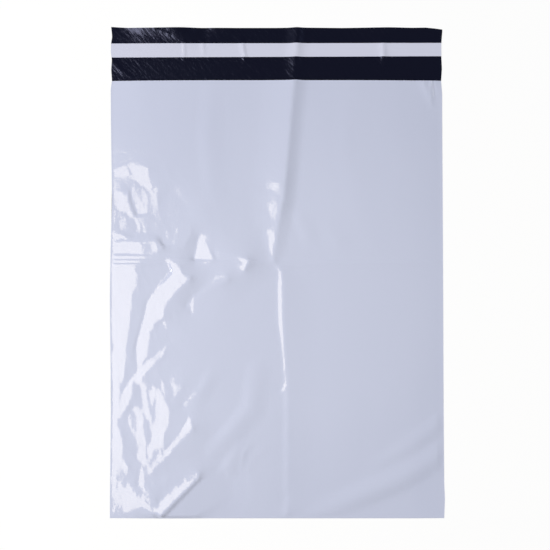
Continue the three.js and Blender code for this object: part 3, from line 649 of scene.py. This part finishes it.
whiteLook = {
    "surface": {
        "Colour": (0.595, 0.63, 0.78, 1),
        "Deep Colour": (0.525, 0.56, 0.71, 1),
        "Waves": 0.6,
        "Crumples": 1.15,
        "Brushing": 0,
        "Smoothest": 0.06,
        "Roughest": 0.1,
    },
    "shader": {},
}
blackLook = {
    "surface": {
        "Colour": (0.0021, 0.0024, 0.009, 1),
        "Deep Colour": (0.0014, 0.0015, 0.0062, 1),
        "Waves": 1.0,
        "Crumples": 0,
        "Brushing": 1.6,
        "Smoothest": 0.17,
        "Roughest": 0.24,
    },
    "shader": {"Specular Tint": (0.48, 0.55, 1, 1), "Specular IOR Level": 1.0},
}
linerLook = {
    "surface": {
        "Colour": (0.635, 0.655, 0.785, 1),
        "Deep Colour": (0.6, 0.617, 0.75, 1),
        "Waves": 0.6,
        "Crumples": 0,
        "Brushing": 0,
        "Smoothest": 0.1,
        "Roughest": 0.2,
    },
    "shader": {},
}
adhesiveLook = {"Base Color": (0.68, 0.62, 0.42, 1), "Roughness": 0.45}

whiteFilm = filmMaterial("whiteFilm", whiteLook)
blackFilm = filmMaterial("blackFilm", blackLook)
linerFilm = filmMaterial("linerFilm", linerLook)
hotMelt = bpy.data.materials.new("hotMelt")
hotMelt.use_nodes = True
for socket, value in adhesiveLook.items():
    hotMelt.node_tree.nodes["Principled BSDF"].inputs[socket].default_value = value
print("materials made")


def keepShape(piece, node):
    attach(piece, "root")
    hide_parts(node)


def spacedPlaces(along, density, count):  # closer together where the density is higher
    share = np.concatenate([[0], np.cumsum((density[1:] + density[:-1]) / 2)])
    return np.interp(np.linspace(0, share[-1], count + 1), share, along)


def columnPlaces():
    x = (np.linspace(0, 1, filmGrid["samples"]) - 0.5) * film["width"]
    density = np.where(x < filmGrid["creasedSide"], 1.0, filmGrid["calmColumns"])
    for place, more, reach in filmGrid["closeColumns"]:
        density = density + more * np.exp(-(((x - place) / reach) ** 2))
    places = spacedPlaces(x, density, filmGrid["columns"])
    for edge in (-weldLine, weldLine):
        places[np.argmin(np.abs(places - edge))] = edge
    return places


def frontPlaces(lastY):  # from the mouth to where the bottom fold starts
    y = np.linspace(mouthY, lastY, filmGrid["samples"])
    density = np.where(y > filmGrid["calmAbove"], filmGrid["calmRows"], 1.0)
    for place, more, reach in filmGrid["closeRows"]:
        density = density + more * np.exp(-(((y - place) / reach) ** 2))
    return spacedPlaces(y, density, filmGrid["frontRows"])


def newSheet(rows):  # a grid, and each of its vertices' column and row
    columns = filmGrid["columns"]
    bm = bmesh.new()
    bmesh.ops.create_grid(bm, x_segments=columns, y_segments=rows, size=0.5)
    flat = np.array([v.co[:] for v in bm.verts])
    column = np.rint((flat[:, 0] + 0.5) * columns).astype(int)
    row = np.rint((flat[:, 1] + 0.5) * rows).astype(int)
    return bm, column, row


def layOut(bm, x, y, z):
    x, y = wander(x, y)
    for v, place in zip(bm.verts, np.stack([x, y, z], 1) / perMetre):
        v.co = place


def finishSheet(bm, name, materials, thickness):  # the wall grows inwards from the drawn face
    mesh = bpy.data.meshes.new(name)
    bm.to_mesh(mesh)
    bm.free()
    for material in materials:
        mesh.materials.append(material)
    piece = bpy.data.objects.new(name, mesh)
    bpy.context.scene.collection.objects.link(piece)
    wall = piece.modifiers.new("wall", "SOLIDIFY")
    wall.thickness = thickness / perMetre
    wall.offset = -1
    wall.material_offset = len(materials) - 1
    wall.material_offset_rim = 0
    solid = piece.evaluated_get(bpy.context.evaluated_depsgraph_get())
    piece.data = bpy.data.meshes.new_from_object(solid)
    piece.modifiers.clear()
    for polygon in piece.data.polygons:
        polygon.use_smooth = True
    piece.data.set_sharp_from_angle(angle=math.radians(filmGrid["sharpAngle"]))
    return piece


# The film is one web, from the mouth's edge down the front, round the fold and up to the flap's edge
def filmPlaces(column, row):
    frontRows, foldRows, backRows = filmGrid["frontRows"], filmGrid["foldRows"], filmGrid["backRows"]
    foldStartY = bottomY + (film["foldGap"] / 2 + film["wall"])
    x = columnPlaces()[column]
    y = frontPlaces(foldStartY)[np.minimum(row, frontRows)]
    backShare = (row - frontRows - foldRows) / backRows
    flapShare = (backShare - 1) * backRows / filmGrid["flapRows"]
    onBack = row >= frontRows + foldRows
    y = np.where(onBack, foldStartY + (mouthY - foldStartY) * np.clip(backShare, 0, 1), y)
    y = np.where(flapShare > 0, mouthY + film["flap"] * flapShare, y)
    z = flapHeight(x, y)
    z = np.where(row <= frontRows, z + 2 * film["wall"] + wallGap(x, y), z)
    onFold = (row > frontRows) & (row < frontRows + foldRows)
    angle = math.pi * (row - frontRows) / foldRows
    radius = film["wall"] + wallGap(x, np.full_like(x, foldStartY)) / 2
    y = np.where(onFold, foldStartY - radius * np.sin(angle), y)
    z = np.where(onFold, radius + radius * np.cos(angle), z)
    return x, y, z


def buildFilm():
    rows = sum(filmGrid[part] for part in ("frontRows", "foldRows", "backRows", "flapRows"))
    bm, column, row = newSheet(rows)
    layOut(bm, *filmPlaces(column, row))
    bmesh.ops.reverse_faces(bm, faces=bm.faces)  # the white side faces out
    return finishSheet(bm, "bagFilm", [whiteFilm, blackFilm], film["wall"])


bagFilm = buildFilm()
keepShape(bagFilm, "bag_film")
print("film made,", len(bagFilm.data.polygons), "faces")

# The closure on the flap: the adhesive, and the liner over it
closure = {
    "linerAboveMouth": 21.6,
    "linerWidth": 12.9,
    "linerThickness": 0.06,
    "linerRows": 10,
    "adhesiveWidth": 9.0,
    "adhesiveThickness": 0.12,
    "adhesiveRows": 6,
    "clearance": 0.04,  # between the flap, the adhesive and the liner
}


def buildBand(name, startY, width, aboveFilm, thickness, rows, material):
    bm, column, row = newSheet(rows)
    x = columnPlaces()[column]
    y = startY + row / rows * width
    layOut(bm, x, y, flapHeight(x, y) + film["wall"] + aboveFilm + thickness)
    return finishSheet(bm, name, [material], thickness)


linerY = mouthY + closure["linerAboveMouth"]
adhesive = buildBand(
    "adhesiveStrip",
    linerY + (closure["linerWidth"] - closure["adhesiveWidth"]) / 2,
    closure["adhesiveWidth"],
    closure["clearance"],
    closure["adhesiveThickness"],
    closure["adhesiveRows"],
    hotMelt,
)
keepShape(adhesive, "adhesive_strip")
liner = buildBand(
    "releaseLiner",
    linerY,
    closure["linerWidth"],
    2 * closure["clearance"] + closure["adhesiveThickness"],
    closure["linerThickness"],
    closure["linerRows"],
    linerFilm,
)
keepShape(liner, "release_liner")
print("closure made")

# The stage is in metres: a white table, three lamps and the camera
table = {
    "halfSize": 6.0,
    "height": -0.0002,
    "colour": (0.95, 0.95, 0.95, 1),
    "roughness": 0.9,
    "glow": 0.82,  # the share of plain white in what the camera or a reflection sees
}
lamps = [
    {
        "name": "softbox",
        "place": (-0.78, -0.22, 1.5),
        "target": (-0.78, -0.22, 0),
        "size": (0.64, 0.84),
        "radiance": 4.7,
        "colour": (1.0, 0.9, 0.7),
    },
    {
        "name": "sideLamp",
        "place": (-2.4, 0.1, 1.3),
        "target": (0, 0, 0),
        "size": (1.6, 1.2),
        "radiance": 12.2,
        "colour": (0.985, 1.0, 1.04),
    },
    {
        "name": "fillLamp",
        "place": (2.4, 0.2, 1.6),
        "target": (0, 0, 0),
        "size": (1.6, 1.2),
        "radiance": 7.4,
        "colour": (0.975, 0.995, 1.03),
    },
]
roomLight = 0.1
view = {
    "height": 1.5,
    "fieldWidth": 0.5053,  # what the picture's width shows on the table
    "centre": (-0.00147, -0.0023, 0),  # what the camera looks at
    "tilt": 0.6,  # degrees
    "sensor": 36,
    "farthest": 20,
}


def tableMaterial():
    material = bpy.data.materials.new("tableWhite")
    material.use_nodes = True
    tree = material.node_tree
    link = tree.links.new
    shader = tree.nodes["Principled BSDF"]
    shader.inputs["Base Color"].default_value = table["colour"]
    shader.inputs["Roughness"].default_value = table["roughness"]
    shader.inputs["Specular IOR Level"].default_value = 0.0
    glow = addNode(tree, "ShaderNodeEmission", {"Strength": 1.0})
    rays = tree.nodes.new("ShaderNodeLightPath")
    seen = mathOf(tree, "MAXIMUM", rays.outputs["Is Camera Ray"], rays.outputs["Is Glossy Ray"])
    seen = mathOf(tree, "MAXIMUM", seen, rays.outputs["Is Transmission Ray"])
    share = addNode(tree, "ShaderNodeMath", operation="MULTIPLY")
    share.inputs[1].default_value = table["glow"]
    mix = tree.nodes.new("ShaderNodeMixShader")
    link(seen, share.inputs[0])
    link(share.outputs["Value"], mix.inputs["Fac"])
    link(shader.outputs["BSDF"], mix.inputs[1])
    link(glow.outputs["Emission"], mix.inputs[2])
    link(mix.outputs["Shader"], tree.nodes["Material Output"].inputs["Surface"])
    return material


def buildTable():
    bm = bmesh.new()
    bmesh.ops.create_grid(bm, x_segments=1, y_segments=1, size=table["halfSize"])
    mesh = bpy.data.meshes.new("table")
    bm.to_mesh(mesh)
    bm.free()
    mesh.materials.append(tableMaterial())
    thing = bpy.data.objects.new("table", mesh)
    thing.location.z = table["height"]
    bpy.context.scene.collection.objects.link(thing)


def buildLamp(name, place, target, size, radiance, colour):
    light = bpy.data.lights.new(name, "AREA")
    light.shape = "RECTANGLE"
    light.size, light.size_y = size
    light.energy = radiance * math.pi * size[0] * size[1]
    light.color = colour
    thing = bpy.data.objects.new(name, light)
    bpy.context.scene.collection.objects.link(thing)
    thing.location = place
    thing.rotation_mode = "QUATERNION"
    thing.rotation_quaternion = (Vector(target) - Vector(place)).to_track_quat("-Z", "Y")


def buildWorld():
    world = bpy.data.worlds.new("room")
    world.use_nodes = True
    background = world.node_tree.nodes["Background"]
    background.inputs["Color"].default_value = (1, 1, 1, 1)
    background.inputs["Strength"].default_value = roomLight
    bpy.context.scene.world = world


def buildCamera():
    camera = bpy.data.cameras.new("camera")
    camera.sensor_width = view["sensor"]
    camera.lens = view["sensor"] * view["height"] / view["fieldWidth"]
    camera.clip_end = view["farthest"]
    thing = bpy.data.objects.new("camera", camera)
    bpy.context.scene.collection.objects.link(thing)
    tilt = math.radians(view["tilt"])
    away = Vector((0, -math.sin(tilt), math.cos(tilt))) * view["height"]
    thing.location = Vector(view["centre"]) + away
    thing.rotation_euler = (tilt, 0, 0)
    bpy.context.scene.camera = thing


buildTable()
for lamp in lamps:
    buildLamp(**lamp)
buildWorld()
buildCamera()
bpy.context.scene.view_settings.view_transform = "Standard"
print("stage made")
